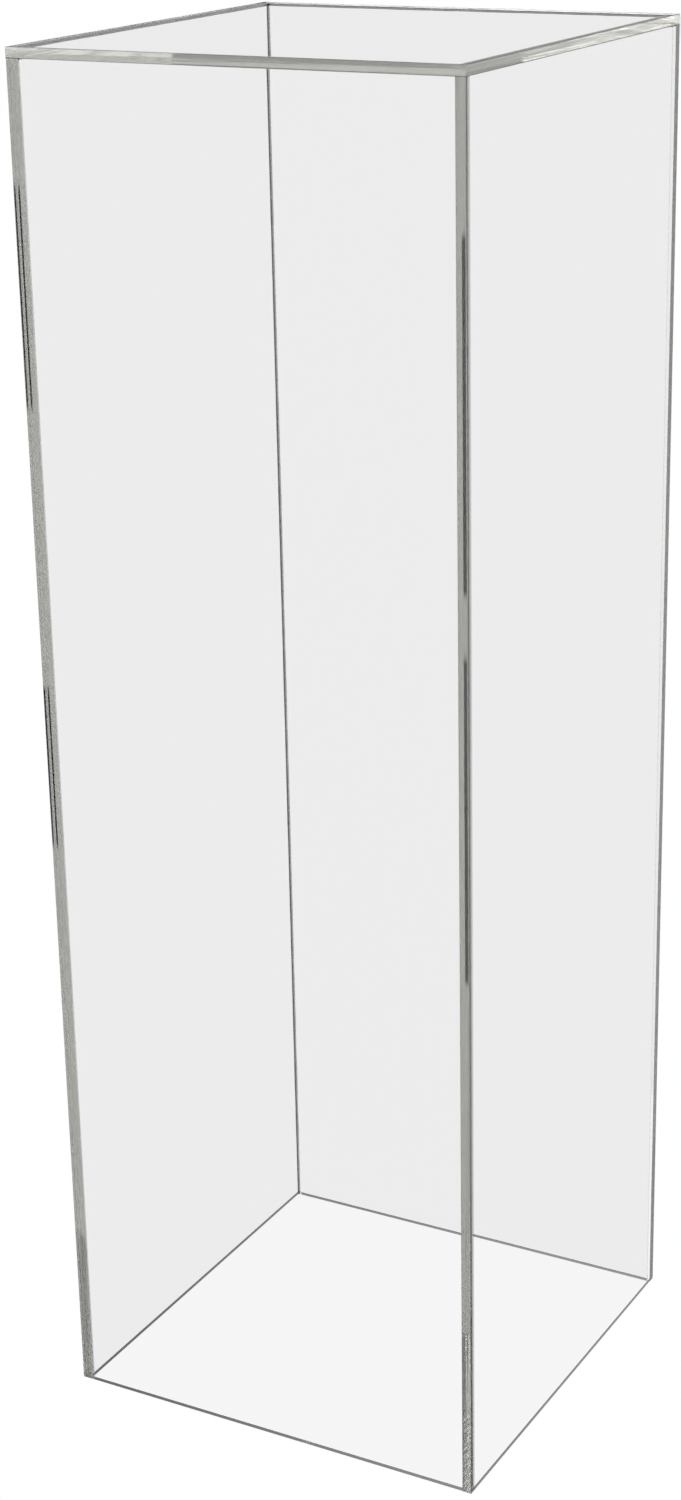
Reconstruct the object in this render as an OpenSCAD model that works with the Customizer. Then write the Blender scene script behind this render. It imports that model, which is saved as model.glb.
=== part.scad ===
// Clear acrylic display cover: four wall sheets and a top sheet, cemented edge to face, open at the bottom.
// Millimetres. Z is up. The origin is the centre of the open rim, on the surface that the cover stands on.
// Each wall laps the end of the wall before it and butts against the wall after it, so that in a square cover
// the four walls are the same sheet.

/* [Overall size] */
// Outside width, along X
case_w = 304.8; // [150:0.1:600]
// Outside depth, along Y
case_d = 304.8; // [150:0.1:600]
// Outside height, from the rim to the upper face of the top sheet
case_h = 914.4; // [200:0.1:1500]

/* [Sheets] */
// Thickness of the four wall sheets
wall_t = 6.35; // [3:0.05:12]
// Thickness of the top sheet
top_t = 6.35; // [3:0.05:12]
// Width that scraping takes off each face along an open arris
arris = 0.4; // [0.1:0.05:1]

/* [Cement joints] */
// Thickness of the cement film between two sheets
film_t = 0.2; // [0.05:0.05:0.5]
// Leg of the cement bead along each inside corner
bead = 1.6; // [0.3:0.1:3]

/* [Hidden] */
// The four sides, in the order that they follow each other round the plan
front = 0;
right = 1;
back = 2;
left = 3;
// Plan corner that each side starts from
corners = [[-case_w / 2, -case_d / 2], [case_w / 2, -case_d / 2], [case_w / 2, case_d / 2], [-case_w / 2, case_d / 2]];
// Outside length of each side
side_lengths = [case_w, case_d, case_w, case_d];
// Height of the walls, up to the film that carries the top sheet
wall_h = case_h - top_t - film_t;
// How far a cutter reaches past the faces that it cuts
overshoot = 1;

// Where a side's inner face meets the inner face of the next side, measured along the side
function inner_end(side) = side_lengths[side] - wall_t;

// Length of a wall sheet, which stops a film short of the wall that it butts against
function wall_run(side) = inner_end(side) - film_t;

// Moves a shape drawn at the origin to one side: X runs along the side, Y goes inwards
module on_side(side) {
    translate([corners[side].x, corners[side].y, 0])
        rotate(90 * side)
            children();
}

// Triangle that takes a 45 degree flat off the corner at the origin of a shape in the first quadrant
module scrape_profile() {
    polygon([
        [-overshoot, -overshoot],
        [arris + overshoot, -overshoot],
        [-overshoot, arris + overshoot]
    ]);
}

// Scraper for an arris that runs along X at the origin, with the sheet on its +Y and +Z side
module scrape_along_x(length) {
    translate([-overshoot, 0, 0])
        rotate([90, 0, 90])
            linear_extrude(length + 2 * overshoot)
                scrape_profile();
}

// Scraper for an upright arris at the origin, with the sheet on its +X and +Y side
module scrape_upright(length) {
    translate([0, 0, -overshoot])
        linear_extrude(length + 2 * overshoot)
            scrape_profile();
}

// Wall sheet: its lapping end is at X = 0, and its open arrises at the corner and round the rim are scraped
module wall_sheet(side) {
    on_side(side)
        difference() {
            cube([wall_run(side), wall_t, wall_h]);
            scrape_upright(wall_h);
            scrape_along_x(wall_run(side));
            translate([0, wall_t, 0])
                mirror([0, 1, 0])
                    scrape_along_x(wall_run(side));
            rotate(90)
                mirror([0, 1, 0])
                    scrape_along_x(wall_t);
        }
}

// Upright cement joint between a wall's butting end and the next wall, with its bead in the inside corner
module upright_joint(side) {
    on_side(side) {
        translate([wall_run(side), 0, arris])
            cube([film_t, wall_t, wall_h - arris]);
        translate([inner_end(side), wall_t, arris])
            linear_extrude(wall_h - bead - arris)
                polygon([[0, 0], [0, bead], [-film_t - bead, 0]]);
    }
}

// Cement joint under the top sheet along one side, with its bead under the sheet.
// The bead starts clear of the bead on the side before it and ends at the inner face of the next wall.
module top_joint(side) {
    on_side(side) {
        translate([0, 0, wall_h])
            cube([inner_end(side), wall_t, film_t]);
        translate([wall_t + bead, wall_t, wall_h + film_t])
            rotate([90, 0, 90])
                linear_extrude(inner_end(side) - wall_t - bead)
                    polygon([[0, 0], [0, -film_t - bead], [bead, 0]]);
    }
}

module top_sheet() {
    color("WhiteSmoke", 0.35)
        difference() {
            translate([-case_w / 2, -case_d / 2, case_h - top_t])
                cube([case_w, case_d, top_t]);
            for (side = [front, right, back, left])
                on_side(side) {
                    translate([0, 0, case_h])
                        mirror([0, 0, 1])
                            scrape_along_x(side_lengths[side]);
                    translate([0, 0, case_h - top_t])
                        scrape_upright(top_t);
                }
        }
}

module front_wall() {
    color("WhiteSmoke", 0.35)
        wall_sheet(front);
}

module right_wall() {
    color("WhiteSmoke", 0.35)
        wall_sheet(right);
}

module back_wall() {
    color("WhiteSmoke", 0.35)
        wall_sheet(back);
}

module left_wall() {
    color("WhiteSmoke", 0.35)
        wall_sheet(left);
}

module joint_front_right() {
    color("Gray", 0.6)
        upright_joint(front);
}

module joint_back_right() {
    color("Gray", 0.6)
        upright_joint(right);
}

module joint_back_left() {
    color("Gray", 0.6)
        upright_joint(back);
}

module joint_front_left() {
    color("Gray", 0.6)
        upright_joint(left);
}

module joint_top_front() {
    color("Gray", 0.6)
        top_joint(front);
}

module joint_top_right() {
    color("Gray", 0.6)
        top_joint(right);
}

module joint_top_back() {
    color("Gray", 0.6)
        top_joint(back);
}

module joint_top_left() {
    color("Gray", 0.6)
        top_joint(left);
}

top_sheet();
front_wall();
right_wall();
back_wall();
left_wall();
joint_front_right();
joint_back_right();
joint_back_left();
joint_front_left();
joint_top_front();
joint_top_right();
joint_top_back();
joint_top_left();
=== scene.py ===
"""Clear acrylic display cover: five cemented sheets, open at the bottom, on a white sweep."""
import math

import bmesh
import bpy
from mathutils import Matrix, Vector, noise


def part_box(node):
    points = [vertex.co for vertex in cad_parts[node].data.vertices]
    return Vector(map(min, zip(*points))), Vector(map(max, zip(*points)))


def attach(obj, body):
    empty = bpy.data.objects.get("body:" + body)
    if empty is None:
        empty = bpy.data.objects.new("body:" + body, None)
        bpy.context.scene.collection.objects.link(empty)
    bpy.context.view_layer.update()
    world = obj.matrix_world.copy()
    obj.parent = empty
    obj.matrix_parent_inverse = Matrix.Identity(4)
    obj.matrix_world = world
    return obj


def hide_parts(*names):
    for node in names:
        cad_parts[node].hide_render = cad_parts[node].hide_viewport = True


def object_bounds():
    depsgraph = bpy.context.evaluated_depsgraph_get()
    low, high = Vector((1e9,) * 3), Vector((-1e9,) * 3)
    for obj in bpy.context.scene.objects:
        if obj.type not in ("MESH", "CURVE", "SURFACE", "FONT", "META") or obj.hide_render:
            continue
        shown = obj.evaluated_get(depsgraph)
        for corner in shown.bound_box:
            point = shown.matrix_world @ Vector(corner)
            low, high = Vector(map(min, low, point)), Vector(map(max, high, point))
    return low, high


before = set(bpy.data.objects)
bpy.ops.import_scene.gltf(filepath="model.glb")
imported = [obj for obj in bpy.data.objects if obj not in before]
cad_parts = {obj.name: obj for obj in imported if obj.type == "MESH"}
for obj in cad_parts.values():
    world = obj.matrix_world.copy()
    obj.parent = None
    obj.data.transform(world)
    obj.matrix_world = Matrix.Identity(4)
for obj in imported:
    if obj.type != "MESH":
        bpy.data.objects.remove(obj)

CAD_LOW, CAD_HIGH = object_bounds()
MM = 0.001
X, Y, Z = Vector((1, 0, 0)), Vector((0, 1, 0)), Vector((0, 0, 1))

# each side of the cover: which way its wall runs from its open end, and which way is inwards
SIDES = {"front": (X, Y), "right": (Y, -X), "back": (-X, -Y), "left": (-Y, X)}
# the side whose open end gets painted light: a painted dark reflection up the end and painted shade beside
# it
PAINTED_LIGHT_SIDE = "right"  # its wall's open end is the corner nearest the camera

# ---- sheets, in metres ----
OPEN_ARRIS = 0.4 * MM  # the scraped flat of the CAD sheets, rounded over here
BONDED_ARRIS = 0.03 * MM  # an arris inside a cement joint is left sharp
STATION_STEP = 5 * MM  # along an edge
EDGE_CUTS = 12  # strips across an edge face
ARRIS_CUTS = 4  # strips round an arris
SCRAPE_DEPTH = 0.02 * MM  # waviness that the scraper leaves across an edge face
SCRAPE_PITCH = 1.1 * MM  # across the edge
SCRAPE_RUN = 90 * MM  # along the edge
SCRAPE_GAIN = 1.6  # spreads the noise over the whole depth
SHARP_FROM = math.radians(10)  # a bend tighter than this is a real corner
TOP_SHEET_SEED = 9

# ---- cement joints, in metres ----
JOINT_GAP = 0.015 * MM  # air between a cement film's mesh and the sheets' meshes
BEAD_ARC = 4  # strips round the bead's hollow face
BEAD_HOLLOW = 0.18  # how far that face sinks in, as a share of the bead's leg
BEAD_WAVE = 14 * MM  # along a bead, from thick to thin and back
BEAD_UNEVENNESS = 0.12
TOP_JOINT_SEEDS = 20

# ---- acrylic ----
ACRYLIC_IOR = 1.49
ACRYLIC_TINT, ACRYLIC_DENSITY = (0.09, 0.08, 0.0), 2.3
FACE_PASSES = (0.9639, 0.9641, 0.965)  # what one face of a sheet lets through
FACE_FLATNESS = 0.999  # a normal as near as this to the sheet's own is on a big face
TOTAL_REFLECTION = 0.999  # the Fresnel share from which nothing is let out
EDGE_CLEAR, EDGE_DULL = (0.95, 0.951, 0.948), (0.84, 0.842, 0.836)  # where the scraper skated and bit
EDGE_SMOOTH, EDGE_ROUGH = 0.03, 0.11  # roughness at the same places
MARK_PITCH, MARK_RUN = 0.35 * MM, 60 * MM  # the scraper's marks, across an edge and along it
MARK_DETAIL = 4.0
MARK_ROUGHENS = (0.35, 0.65)  # between which levels of the noise the roughness changes
MARK_DULLS = (0.4, 0.7)  # and the colour
MARK_DEPTH, MARK_RELIEF = 0.01 * MM, 0.5

# ---- painted light at the open end nearest the camera: a painted dark reflection streaked up it, and painted shade on the margin beside it ----
END_PAINTED_REFLECTION_DEPTHS = (0.6 * MM, 2.9 * MM)  # from the wall's outer face
END_PAINTED_REFLECTION_SPANS = ((0.10, 0.33), (0.37, 0.60))  # shares of the cover's height, down from its top
# colour level of the painted dark reflection up the open end
END_PAINTED_REFLECTION_LEVEL = 0.03
# painted shade: how wide the darker margin on the outer face is, and how much it lets through
PAINTED_SHADE_WIDTH = 5.2 * MM
PAINTED_SHADE_FADES = 0.85  # the share of its width from which it fades out
PAINTED_SHADE_CLOSE, PAINTED_SHADE_FAR = 0.36, 0.66  # let through at the open end and further in

# ---- cement ----
CLEAR_CEMENT, CLOUDY_CEMENT = (0.95, 200), (0.5, 800)  # colour level and density of each
CEMENT_TINT = (0.1, 0.1, 0.0)
CEMENT_WARMTH = 0.99  # its blue against its red and green
CEMENT_DULL = 0.85  # the level of its cloudy places against the clear ones
CEMENT_GRAIN, CEMENT_DETAIL = 1.2 * MM, 3.0
CEMENT_SMOOTH, CEMENT_ROUGH = 0.05, 0.16
CEMENT_ROUGHENS, CEMENT_CLOUDS = (0.3, 0.7), (0.3, 0.75)  # levels of the noise, as for the marks
CEMENT_DEPTH, CEMENT_RELIEF = 0.02 * MM, 0.4
# a painted dark reflection streaked up the cement of the corner at the left of the camera's view
FILM_PAINTED_REFLECTION_DEPTHS = (1.0 * MM, 2.2 * MM)
FILM_PAINTED_REFLECTION_SPANS = ((0.09, 0.24), (0.44, 0.56))
# colour level of the painted dark reflection in the cement
FILM_PAINTED_REFLECTION_LEVEL = 0.01
STREAK_SIDES, STREAK_ENDS = 0.15 * MM, 4 * MM  # how soft a streak is

# ---- stage, light and camera ----
FLOOR_LEVEL = 1.0
FLOOR_RADIUS, FLOOR_SIDES = 60, 96
FLOOR_BELOW = 0.2 * MM
# the sky's level at each sine of elevation
SKY_LEVELS = ((0.0, 0.58), (0.16, 0.56), (0.26, 0.39), (0.6, 0.37), (0.8, 0.6), (1.0, 0.7))
# the soft boxes that light the edges: the direction each one lies in, how wide it is and how much
# it adds. The last is a black flag, which takes light away and darkens the rim towards the left corner.
SOFT_BOXES = (
    (Vector((0.56, 0.83, 0.09)), 0.20, 1.1),
    (Vector((-0.40, -0.91, 0.09)), 0.16, 3.8),
    (Vector((0.38, 0.74, 0.55)), 0.16, 1.6),
    (Vector((-0.53, 0.63, 0.56)), 0.15, -0.25),
)
CAMERA_AT = Vector((0.8375, -1.5314, 1.0803))
CAMERA_AZIMUTH, CAMERA_DOWN, CAMERA_ROLL = -29.31, 20.0, -1.22  # degrees
CAMERA_LENS, CAMERA_SENSOR = 66.48, 36  # millimetres
CAMERA_SHIFT = 0.0023  # sideways, as a share of the picture's height: brings the right corner into it
BOUNCES, TRANSPARENT_BOUNCES = 96, 16


# ---- mesh helpers ----
def finish_mesh(name, bm, material):
    """Makes an object from a bmesh, smooth over gentle waves and sharp at real corners."""
    for face in bm.faces:
        face.smooth = True
    mesh = bpy.data.meshes.new(name)
    bm.normal_update()
    bm.to_mesh(mesh)
    bm.free()
    mesh.set_sharp_from_angle(angle=SHARP_FROM)
    mesh.materials.append(material)
    piece = bpy.data.objects.new(name, mesh)
    bpy.context.scene.collection.objects.link(piece)
    return piece


def dress(piece, node):
    """Hides the CAD node that a piece stands in for, and hangs the piece on the root body."""
    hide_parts(node)
    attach(piece, "root")
    return piece


def place(bm, origin, along, up, inwards):
    """Moves a mesh drawn at the origin so that its X, Y and Z run along, up and inwards."""
    turn = Matrix((along, up, inwards)).transposed().to_4x4()
    bmesh.ops.transform(bm, matrix=Matrix.Translation(origin) @ turn, verts=bm.verts)
    if turn.determinant() < 0:
        bmesh.ops.reverse_faces(bm, faces=bm.faces)


def close_rings(bm, rings):
    """Joins rings of vertices into one closed skin, with a cap on the first and the last."""
    for lower, upper in zip(rings, rings[1:]):
        for i, vert in enumerate(lower):
            j = (i + 1) % len(lower)
            bm.faces.new((vert, lower[j], upper[j], upper[i]))
    bm.faces.new(list(reversed(rings[0])))
    bm.faces.new(rings[-1])


def corner_of(low, high, *ways):
    """The corner of a box from which every one of the given axis directions leads into it."""
    towards = sum(ways, Vector())
    return Vector([low[i] if towards[i] > 0 else high[i] for i in range(3)])


def extent(low, high, way):
    """Length of a box along an axis direction."""
    return abs((high - low).dot(way))


def limited(value):
    """A value kept between -1 and 1."""
    return max(-1.0, min(1.0, value))


# ---- sheets ----
def stations(length):
    """Evenly spaced values from 0 up to, but not including, a length."""
    count = max(2, round(length / STATION_STEP))
    return [length * i / count for i in range(count)]


def edge_profile(radius, thickness):
    """(inset, depth) pairs across an edge face with both arrises rounded to radius."""
    turns = [math.pi / 2 * i / ARRIS_CUTS for i in range(ARRIS_CUTS + 1)]
    near = [(radius * (1 - math.sin(t)), radius * (1 - math.cos(t))) for t in turns]
    far = [(inset, thickness - depth) for inset, depth in reversed(near)]
    flat = thickness - 2 * radius
    middle = [(0.0, radius + flat * i / EDGE_CUTS) for i in range(1, EDGE_CUTS)]
    return near + middle + far


def scrape(along, depth, seed):
    """How far the scraper went into an edge face at one place, from 0 to 1."""
    wave = noise.noise(Vector((along / SCRAPE_RUN, depth / SCRAPE_PITCH, seed)))
    return 0.5 + 0.5 * limited(SCRAPE_GAIN * wave)


def sheet_mesh(length, height, thickness, open_edges, seed):
    """Closed mesh of a sheet: X along it, Y up it, Z through it. Edges run round it in the order
    bottom, end, top, start, and open_edges says which of them are scraped and which are cemented."""
    bm = bmesh.new()
    bottom, end, top, start = (OPEN_ARRIS if is_open else BONDED_ARRIS for is_open in open_edges)
    profiles = {radius: edge_profile(radius, thickness) for radius in (OPEN_ARRIS, BONDED_ARRIS)}
    xs, ys = stations(length), stations(height)
    # each place round the outline: its point, then the arris radius that insets it in X and in Y
    outline = [(x, 0.0, start if x == 0 else None, bottom) for x in xs]
    outline += [(length, y, end, bottom if y == 0 else None) for y in ys]
    outline += [(length - x, height, end if x == 0 else None, top) for x in xs]
    outline += [(0.0, height - y, start, top if y == 0 else None) for y in ys]
    rings = []
    for k in range(len(profiles[OPEN_ARRIS])):
        ring = []
        for x, y, r_x, r_y in outline:
            inset_x = profiles[r_x][k][0] if r_x else 0.0
            inset_y = profiles[r_y][k][0] if r_y else 0.0
            radius = max(r_x or 0, r_y or 0)
            depth = profiles[radius][k][1]
            rough = SCRAPE_DEPTH * scrape(x + y, depth, seed) if radius == OPEN_ARRIS else 0.0
            if r_x:
                inset_x += rough
            if r_y:
                inset_y += rough
            px = min(max(x, inset_x), length - inset_x)
            py = min(max(y, inset_y), height - inset_y)
            ring.append(bm.verts.new((px, py, depth)))
        rings.append(ring)
    close_rings(bm, rings)
    return bm


def wall_piece(side, seed):
    """The wall sheet of one side, in place of its CAD node."""
    node = f"{side}_wall"
    along, inwards = SIDES[side]
    low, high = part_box(node)
    sizes = [extent(low, high, way) for way in (along, Z, inwards)]
    bm = sheet_mesh(*sizes, open_edges=(True, False, False, True), seed=seed)
    place(bm, corner_of(low, high, along, Z, inwards), along, Z, inwards)
    piece = finish_mesh(f"{side}_wall_sheet", bm, acrylic(side, inwards))
    return dress(piece, node)


def top_piece(seed):
    """The top sheet, in place of its CAD node."""
    low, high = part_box("top_sheet")
    sizes = [extent(low, high, way) for way in (X, Y, Z)]
    bm = sheet_mesh(*sizes, open_edges=(True,) * 4, seed=seed)
    place(bm, corner_of(low, high, X, Y, -Z), X, Y, -Z)
    piece = finish_mesh("top_sheet_panel", bm, acrylic("top", Z))
    return dress(piece, "top_sheet")


# ---- cement joints ----
def joint_section(film, wall, bead):
    """Outline of a joint across its length: the film between two sheets, then its bead.
    The film lies from 0 to -film in X and from 0 to wall in Y, and the bead's corner is at (0, wall)."""
    gap = JOINT_GAP
    points = [(-film + gap, 0.0), (-gap, 0.0), (-gap, wall + bead)]
    # a hollow quarter-round between the two legs of the bead
    for i in range(1, BEAD_ARC):
        share = i / BEAD_ARC
        sag = BEAD_HOLLOW * bead * math.sin(math.pi * share)
        points.append((-gap - (film + bead - gap) * share + sag, wall + bead - (bead - gap) * share - sag))
    points.append((-film - bead, wall + gap))
    points.append((-film + gap, wall + gap))
    return points


def joint_mesh(length, film, wall, bead, fullness, seed):
    """Closed mesh of a cement joint that runs along Z, with a bead that is a little uneven."""
    bm = bmesh.new()
    rings = []
    count = round(length / STATION_STEP)
    for i in range(count + 1):
        z = length * i / count
        wave = limited(noise.noise(Vector((z / BEAD_WAVE, seed, 0.5))))
        leg = bead * fullness * (1 + BEAD_UNEVENNESS * wave)
        rings.append([bm.verts.new((x, y, z)) for x, y in joint_section(film, wall, leg)])
    close_rings(bm, rings)
    return bm


def joint_piece(node, side, film_way, run_way, fullness, seed, material):
    """The joint that cements one side's wall along run_way, with its film's thickness along film_way."""
    inwards = SIDES[side][1]
    low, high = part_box(node)
    wall = extent(*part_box(f"{side}_wall"), inwards)
    bead = extent(low, high, inwards) - wall
    film = extent(low, high, film_way) - bead
    bm = joint_mesh(extent(low, high, run_way), film, wall, bead, fullness, seed)
    place(bm, corner_of(low, high, -film_way, inwards, run_way), film_way, inwards, run_way)
    piece = finish_mesh(f"{node}_cement", bm, material)
    return dress(piece, node)


# ---- node helpers ----
def node_tree(name):
    """A new material and its emptied tree, with an output node."""
    material = bpy.data.materials.new(name)
    material.use_nodes = True
    tree = material.node_tree
    tree.nodes.clear()
    return material, tree, tree.nodes.new("ShaderNodeOutputMaterial")


def feed(tree, socket, value):
    """Gives an input a number, a colour or another node's output."""
    if isinstance(value, bpy.types.NodeSocket):
        tree.links.new(value, socket)
    elif socket.type == "RGBA":
        socket.default_value = (*value, 1)
    else:
        socket.default_value = value


def grey(level):
    """A neutral colour."""
    return (level, level, level)


def absorb(tree, output, colour, density):
    """Plain volume absorption inside a material."""
    volume = tree.nodes.new("ShaderNodeVolumeAbsorption")
    feed(tree, volume.inputs["Color"], colour)
    feed(tree, volume.inputs["Density"], density)
    tree.links.new(volume.outputs[0], output.inputs["Volume"])


def math_node(tree, operation, *values):
    """A Math node on numbers and sockets, as its output."""
    node = tree.nodes.new("ShaderNodeMath")
    node.operation = operation
    for socket, value in zip(node.inputs, values):
        feed(tree, socket, value)
    return node.outputs[0]


def vector_node(tree, operation, vector, fixed):
    """A Vector Math node on a socket and a fixed vector, as the number it gives."""
    node = tree.nodes.new("ShaderNodeVectorMath")
    node.operation = operation
    node.inputs[1].default_value = fixed
    tree.links.new(vector, node.inputs[0])
    return node.outputs["Value"]


def ramp(tree, value, low, high, at_low, at_high):
    """A value turned smoothly from one level into another between two limits."""
    node = tree.nodes.new("ShaderNodeMapRange")
    node.interpolation_type = "SMOOTHSTEP"
    for key, number in (("From Min", low), ("From Max", high), ("To Min", at_low), ("To Max", at_high)):
        node.inputs[key].default_value = number
    tree.links.new(value, node.inputs["Value"])
    return node.outputs["Result"]


def band(tree, value, low, high, soft):
    """1 between two limits and 0 outside them, with soft sides."""
    rise = ramp(tree, value, low - soft, low + soft, 0.0, 1.0)
    fall = ramp(tree, value, high - soft, high + soft, 1.0, 0.0)
    return math_node(tree, "MULTIPLY", rise, fall)


def mix_colour(tree, share, first, second):
    """Two colours or colour sockets mixed by a share of the second."""
    node = tree.nodes.new("ShaderNodeMix")
    node.data_type = "RGBA"
    tree.links.new(share, node.inputs["Factor"])
    colours = [socket for socket in node.inputs if socket.type == "RGBA"]
    for socket, value in zip(colours, (first, second)):
        feed(tree, socket, value)
    return next(socket for socket in node.outputs if socket.type == "RGBA")


def coordinates_of(tree, kind):
    """One of the Texture Coordinate node's outputs."""
    return tree.nodes.new("ShaderNodeTexCoord").outputs[kind]


def distance_along(tree, way, start):
    """How far a point lies along an axis direction from a plane, in metres."""
    reach = vector_node(tree, "DOT_PRODUCT", coordinates_of(tree, "Object"), way)
    return math_node(tree, "SUBTRACT", reach, start)


def stretched_noise(tree, pitches, detail):
    """Noise from 0 to 1 whose grain has the given size along each axis."""
    stretch = tree.nodes.new("ShaderNodeMapping")
    stretch.inputs["Scale"].default_value = [1 / pitch for pitch in pitches]
    texture = tree.nodes.new("ShaderNodeTexNoise")
    texture.inputs["Scale"].default_value = 1.0
    texture.inputs["Detail"].default_value = detail
    tree.links.new(coordinates_of(tree, "Object"), stretch.inputs["Vector"])
    tree.links.new(stretch.outputs[0], texture.inputs["Vector"])
    return texture.outputs["Fac"]


def raised(tree, height, depth, strength):
    """A bump from a height that runs from 0 to 1, as a normal."""
    node = tree.nodes.new("ShaderNodeBump")
    node.inputs["Distance"].default_value = depth
    node.inputs["Strength"].default_value = strength
    tree.links.new(height, node.inputs["Height"])
    return node.outputs["Normal"]


def glass_shader(tree):
    """A clear shader with acrylic's refraction."""
    shader = tree.nodes.new("ShaderNodeBsdfPrincipled")
    shader.inputs["Transmission Weight"].default_value = 1.0
    shader.inputs["IOR"].default_value = ACRYLIC_IOR
    return shader


def streak(tree, inwards, outer, depths, spans):
    """1 in a streak of painted dark reflection that runs up a corner between two depths from a wall's
    outer face, over the given spans of height, which are shares of the cover's height counted down from
    its top."""
    depth = distance_along(tree, inwards, outer)
    up = distance_along(tree, Z, CAD_LOW.z)
    height = CAD_HIGH.z - CAD_LOW.z
    inside = 0.0
    for top, bottom in spans:
        part = band(tree, up, height * (1 - bottom), height * (1 - top), STREAK_ENDS)
        inside = math_node(tree, "ADD", inside, part)
    return math_node(tree, "MULTIPLY", band(tree, depth, *depths, STREAK_SIDES), inside)


# ---- acrylic ----
def face_mask(tree, through):
    """1 on a sheet's two big faces and 0 on its edges and arrises."""
    geometry = tree.nodes.new("ShaderNodeNewGeometry")
    facing = vector_node(tree, "DOT_PRODUCT", geometry.outputs["True Normal"], through)
    return math_node(tree, "GREATER_THAN", math_node(tree, "ABSOLUTE", facing), FACE_FLATNESS)


def coated(tree, mask, glass, passes_colour):
    """Clears the reflection off the masked faces as a coating does, but leaves total reflection
    inside the sheet, which is what carries light along to its edges."""
    fresnel = tree.nodes.new("ShaderNodeFresnel")
    fresnel.inputs["IOR"].default_value = ACRYLIC_IOR
    lets_out = math_node(tree, "LESS_THAN", fresnel.outputs[0], TOTAL_REFLECTION)
    clear = tree.nodes.new("ShaderNodeBsdfRefraction")
    clear.inputs["IOR"].default_value = ACRYLIC_IOR
    clear.inputs["Roughness"].default_value = 0.0
    feed(tree, clear.inputs["Color"], passes_colour)
    mix = tree.nodes.new("ShaderNodeMixShader")
    tree.links.new(math_node(tree, "MULTIPLY", lets_out, mask), mix.inputs[0])
    tree.links.new(glass, mix.inputs[1])
    tree.links.new(clear.outputs[0], mix.inputs[2])
    return mix.outputs[0]


def scraped_edge(tree, shader, mask, through):
    """Streaks of colour, roughness and relief along a sheet's edges. Returns the edges' colour."""
    pitches = [MARK_PITCH if abs(part) > 0.5 else MARK_RUN for part in through]
    marks = stretched_noise(tree, pitches, MARK_DETAIL)
    on_edge = math_node(tree, "SUBTRACT", 1.0, mask)
    roughness = ramp(tree, marks, *MARK_ROUGHENS, EDGE_SMOOTH, EDGE_ROUGH)
    tree.links.new(math_node(tree, "MULTIPLY", roughness, on_edge), shader.inputs["Roughness"])
    relief = math_node(tree, "MULTIPLY", marks, on_edge)
    tree.links.new(raised(tree, relief, MARK_DEPTH, MARK_RELIEF), shader.inputs["Normal"])
    return mix_colour(tree, ramp(tree, marks, *MARK_DULLS, 0.0, 1.0), EDGE_CLEAR, EDGE_DULL)


def end_painted_light(tree, side, edge_colour):
    """Painted light at the open end of one wall: a painted dark reflection streaked up the end, and
    painted shade on a margin of the wall's outer face beside it. Returns the colour of the wall's edges
    and the colour that its faces let through."""
    along, inwards = SIDES[side]
    corner = corner_of(*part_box(f"{side}_wall"), along, Z, inwards)
    start, outer = corner.dot(along), corner.dot(inwards)
    from_end = distance_along(tree, along, start)
    at_end = math_node(tree, "LESS_THAN", from_end, 2 * OPEN_ARRIS)
    # painted dark reflection: a dark streak up the open end
    painted_dark_streak = streak(tree, inwards, outer, END_PAINTED_REFLECTION_DEPTHS, END_PAINTED_REFLECTION_SPANS)
    painted_dark_streak = math_node(tree, "MULTIPLY", painted_dark_streak, at_end)
    # painted shade: the outer face lets through less near the open end
    outside = math_node(tree, "LESS_THAN", distance_along(tree, inwards, outer), OPEN_ARRIS)
    painted_shade_mask = ramp(tree, from_end, PAINTED_SHADE_FADES * PAINTED_SHADE_WIDTH, PAINTED_SHADE_WIDTH, 1.0, 0.0)
    painted_shade_mask = math_node(tree, "MULTIPLY", painted_shade_mask, outside)
    further_in = ramp(tree, from_end, 0.0, PAINTED_SHADE_WIDTH, 0.0, 1.0)
    painted_shade_colour = mix_colour(tree, further_in, grey(PAINTED_SHADE_CLOSE), grey(PAINTED_SHADE_FAR))
    edge_colour = mix_colour(tree, painted_dark_streak, edge_colour, grey(END_PAINTED_REFLECTION_LEVEL))
    return edge_colour, mix_colour(tree, painted_shade_mask, FACE_PASSES, painted_shade_colour)


def acrylic(side, through):
    """Clear cast acrylic for the sheet of one side, or of the top. through is the sheet's thickness
    direction, which tells its faces from its edges."""
    material, tree, output = node_tree(f"acrylic_{side}")
    shader = glass_shader(tree)
    mask = face_mask(tree, through)
    edge_colour, passes = scraped_edge(tree, shader, mask, through), FACE_PASSES
    # this side's open end gets painted light: a painted dark reflection and painted shade
    if side == PAINTED_LIGHT_SIDE:
        edge_colour, passes = end_painted_light(tree, side, edge_colour)
    tree.links.new(edge_colour, shader.inputs["Base Color"])
    tree.links.new(coated(tree, mask, shader.outputs[0], passes), output.inputs["Surface"])
    absorb(tree, output, ACRYLIC_TINT, ACRYLIC_DENSITY)
    return material


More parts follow.
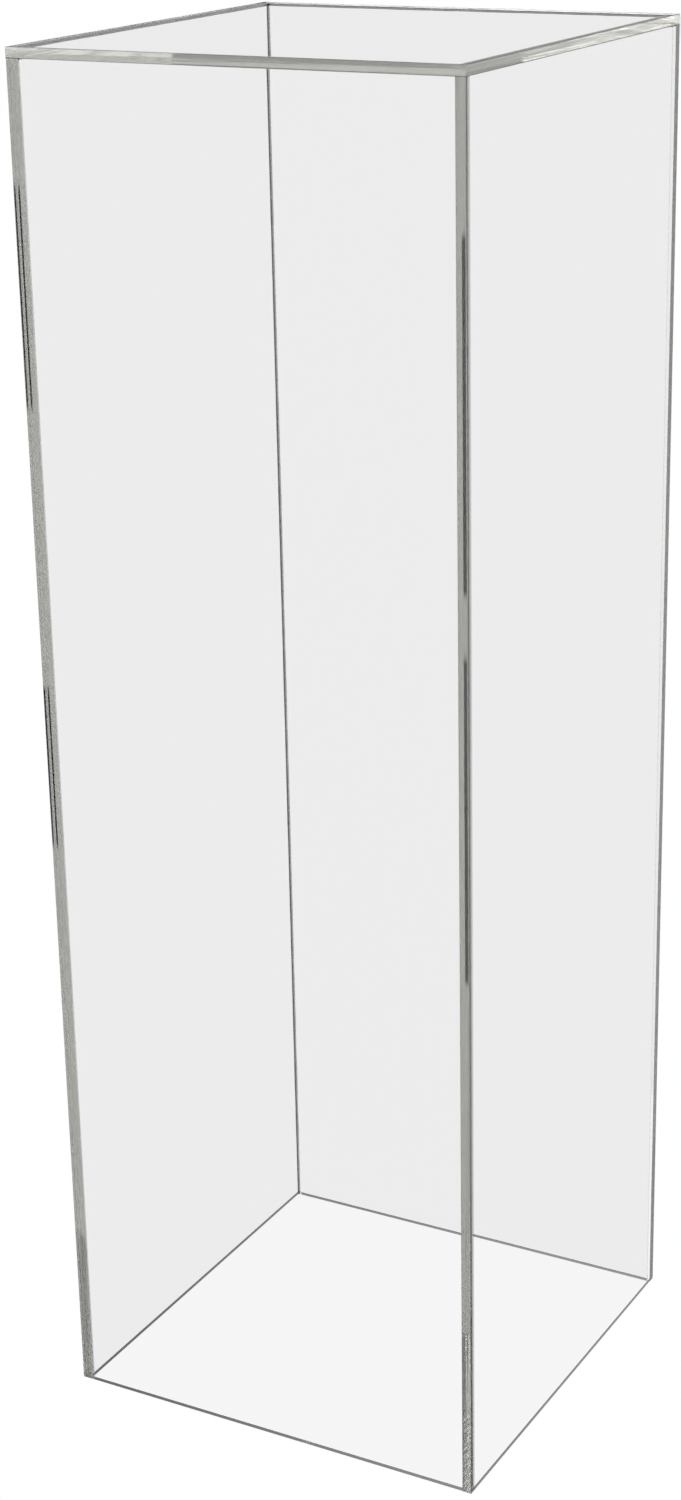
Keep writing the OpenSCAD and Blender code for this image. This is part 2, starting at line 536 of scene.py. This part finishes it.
# ---- cement ----
def cement(name, level, density, with_painted_reflection=False):
    """Dried solvent cement: a little cloudy and lumpy, and for one joint a streak of painted dark
    reflection.
    """
    material, tree, output = node_tree(name)
    shader = glass_shader(tree)
    lumps = stretched_noise(tree, [CEMENT_GRAIN] * 3, CEMENT_DETAIL)
    roughness = ramp(tree, lumps, *CEMENT_ROUGHENS, CEMENT_SMOOTH, CEMENT_ROUGH)
    tree.links.new(roughness, shader.inputs["Roughness"])
    tree.links.new(raised(tree, lumps, CEMENT_DEPTH, CEMENT_RELIEF), shader.inputs["Normal"])
    cloud = ramp(tree, lumps, *CEMENT_CLOUDS, 0.0, 1.0)
    colour = mix_colour(tree, cloud, (level, level, CEMENT_WARMTH * level), grey(CEMENT_DULL * level))
    if with_painted_reflection:
        # painted dark reflection: a dark streak in the cement film
        painted_dark_streak = streak(tree, X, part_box("left_wall")[0].x, FILM_PAINTED_REFLECTION_DEPTHS, FILM_PAINTED_REFLECTION_SPANS)
        colour = mix_colour(tree, painted_dark_streak, colour, grey(FILM_PAINTED_REFLECTION_LEVEL))
    tree.links.new(colour, shader.inputs["Base Color"])
    tree.links.new(shader.outputs[0], output.inputs["Surface"])
    absorb(tree, output, CEMENT_TINT, density)
    return material


# ---- stage, light and camera ----
def white_floor():
    """A pale floor that glows evenly, as a lit white sweep does, just under the rim."""
    bm = bmesh.new()
    bmesh.ops.create_circle(bm, cap_ends=True, segments=FLOOR_SIDES, radius=FLOOR_RADIUS)
    material, tree, output = node_tree("white_sweep")
    glow = tree.nodes.new("ShaderNodeEmission")
    glow.inputs["Strength"].default_value = FLOOR_LEVEL
    tree.links.new(glow.outputs[0], output.inputs["Surface"])
    floor = finish_mesh("floor", bm, material)
    floor.location.z = CAD_LOW.z - FLOOR_BELOW


def studio_sky():
    """Dim at middle heights, as in a studio with a lit white sweep, with soft boxes round it."""
    world = bpy.data.worlds.new("studio")
    bpy.context.scene.world = world
    world.use_nodes = True
    tree = world.node_tree
    nodes, links = tree.nodes, tree.links
    nodes.clear()
    output = nodes.new("ShaderNodeOutputWorld")
    background = nodes.new("ShaderNodeBackground")
    direction = coordinates_of(tree, "Generated")
    split = nodes.new("ShaderNodeSeparateXYZ")
    by_height = nodes.new("ShaderNodeValToRGB")
    links.new(direction, split.inputs[0])
    links.new(split.outputs["Z"], by_height.inputs["Fac"])
    elements = by_height.color_ramp.elements
    while len(elements) < len(SKY_LEVELS):
        elements.new(0.5)
    for element, (sine, level) in zip(elements, SKY_LEVELS):
        element.position = sine
        element.color = (*grey(level), 1)
    light = by_height.outputs["Color"]
    for way, width, added in SOFT_BOXES:
        away = vector_node(tree, "DISTANCE", direction, way.normalized())
        light = math_node(tree, "ADD", light, ramp(tree, away, 0.0, 2 * width, added, 0.0))
    links.new(light, background.inputs["Color"])
    links.new(background.outputs[0], output.inputs["Surface"])


def photo_camera():
    """The camera, above the near corner and looking down at the cover."""
    data = bpy.data.cameras.new("camera")
    data.lens = CAMERA_LENS
    data.sensor_width = CAMERA_SENSOR
    data.shift_x = CAMERA_SHIFT
    camera = bpy.data.objects.new("camera", data)
    bpy.context.scene.collection.objects.link(camera)
    azimuth, down = math.radians(CAMERA_AZIMUTH), math.radians(CAMERA_DOWN)
    level = math.cos(down)
    forward = Vector((math.sin(azimuth) * level, math.cos(azimuth) * level, -math.sin(down)))
    turn = forward.to_track_quat("-Z", "Y").to_matrix()
    roll = Matrix.Rotation(math.radians(CAMERA_ROLL), 3, "Z")
    camera.matrix_world = Matrix.Translation(CAMERA_AT) @ (turn @ roll).to_4x4()
    bpy.context.scene.camera = camera


def light_paths():
    """Enough bounces for light that runs the length of a sheet inside it, and plain display colours."""
    cycles = bpy.context.scene.cycles
    cycles.max_bounces = BOUNCES
    cycles.transmission_bounces = BOUNCES
    cycles.glossy_bounces = BOUNCES
    cycles.transparent_max_bounces = TRANSPARENT_BOUNCES
    cycles.volume_bounces = 0
    bpy.context.scene.view_settings.view_transform = "Standard"


light_paths()
studio_sky()
white_floor()
photo_camera()
for order, side_name in enumerate(SIDES):
    wall_piece(side_name, seed=order)
top_piece(seed=TOP_SHEET_SEED)

cement_clear = cement("cement_clear", *CLEAR_CEMENT)
cement_cloudy = cement("cement_cloudy", *CLOUDY_CEMENT)
# this cement carries a streak of painted dark reflection
cement_painted_reflection = cement("cement_painted_reflection", *CLEAR_CEMENT, with_painted_reflection=True)
# each joint: the side whose wall it cements, how full its bead is, and its cement
UPRIGHT_JOINTS = {
    "joint_front_right": ("front", 0.6, cement_clear),
    "joint_back_right": ("right", 0.3, cement_clear),
    "joint_back_left": ("back", 0.88, cement_cloudy),
    "joint_front_left": ("left", 0.5, cement_painted_reflection),
}
TOP_JOINTS = {
    "joint_top_front": ("front", 0.4, cement_clear),
    "joint_top_right": ("right", 0.4, cement_clear),
    "joint_top_back": ("back", 0.85, cement_cloudy),
    "joint_top_left": ("left", 0.88, cement_cloudy),
}
for order, (joint_name, (side_name, full, material)) in enumerate(UPRIGHT_JOINTS.items()):
    joint_piece(joint_name, side_name, SIDES[side_name][0], Z, full, order, material)
for order, (joint_name, (side_name, full, material)) in enumerate(TOP_JOINTS.items()):
    joint_piece(joint_name, side_name, Z, SIDES[side_name][0], full, TOP_JOINT_SEEDS + order, material)
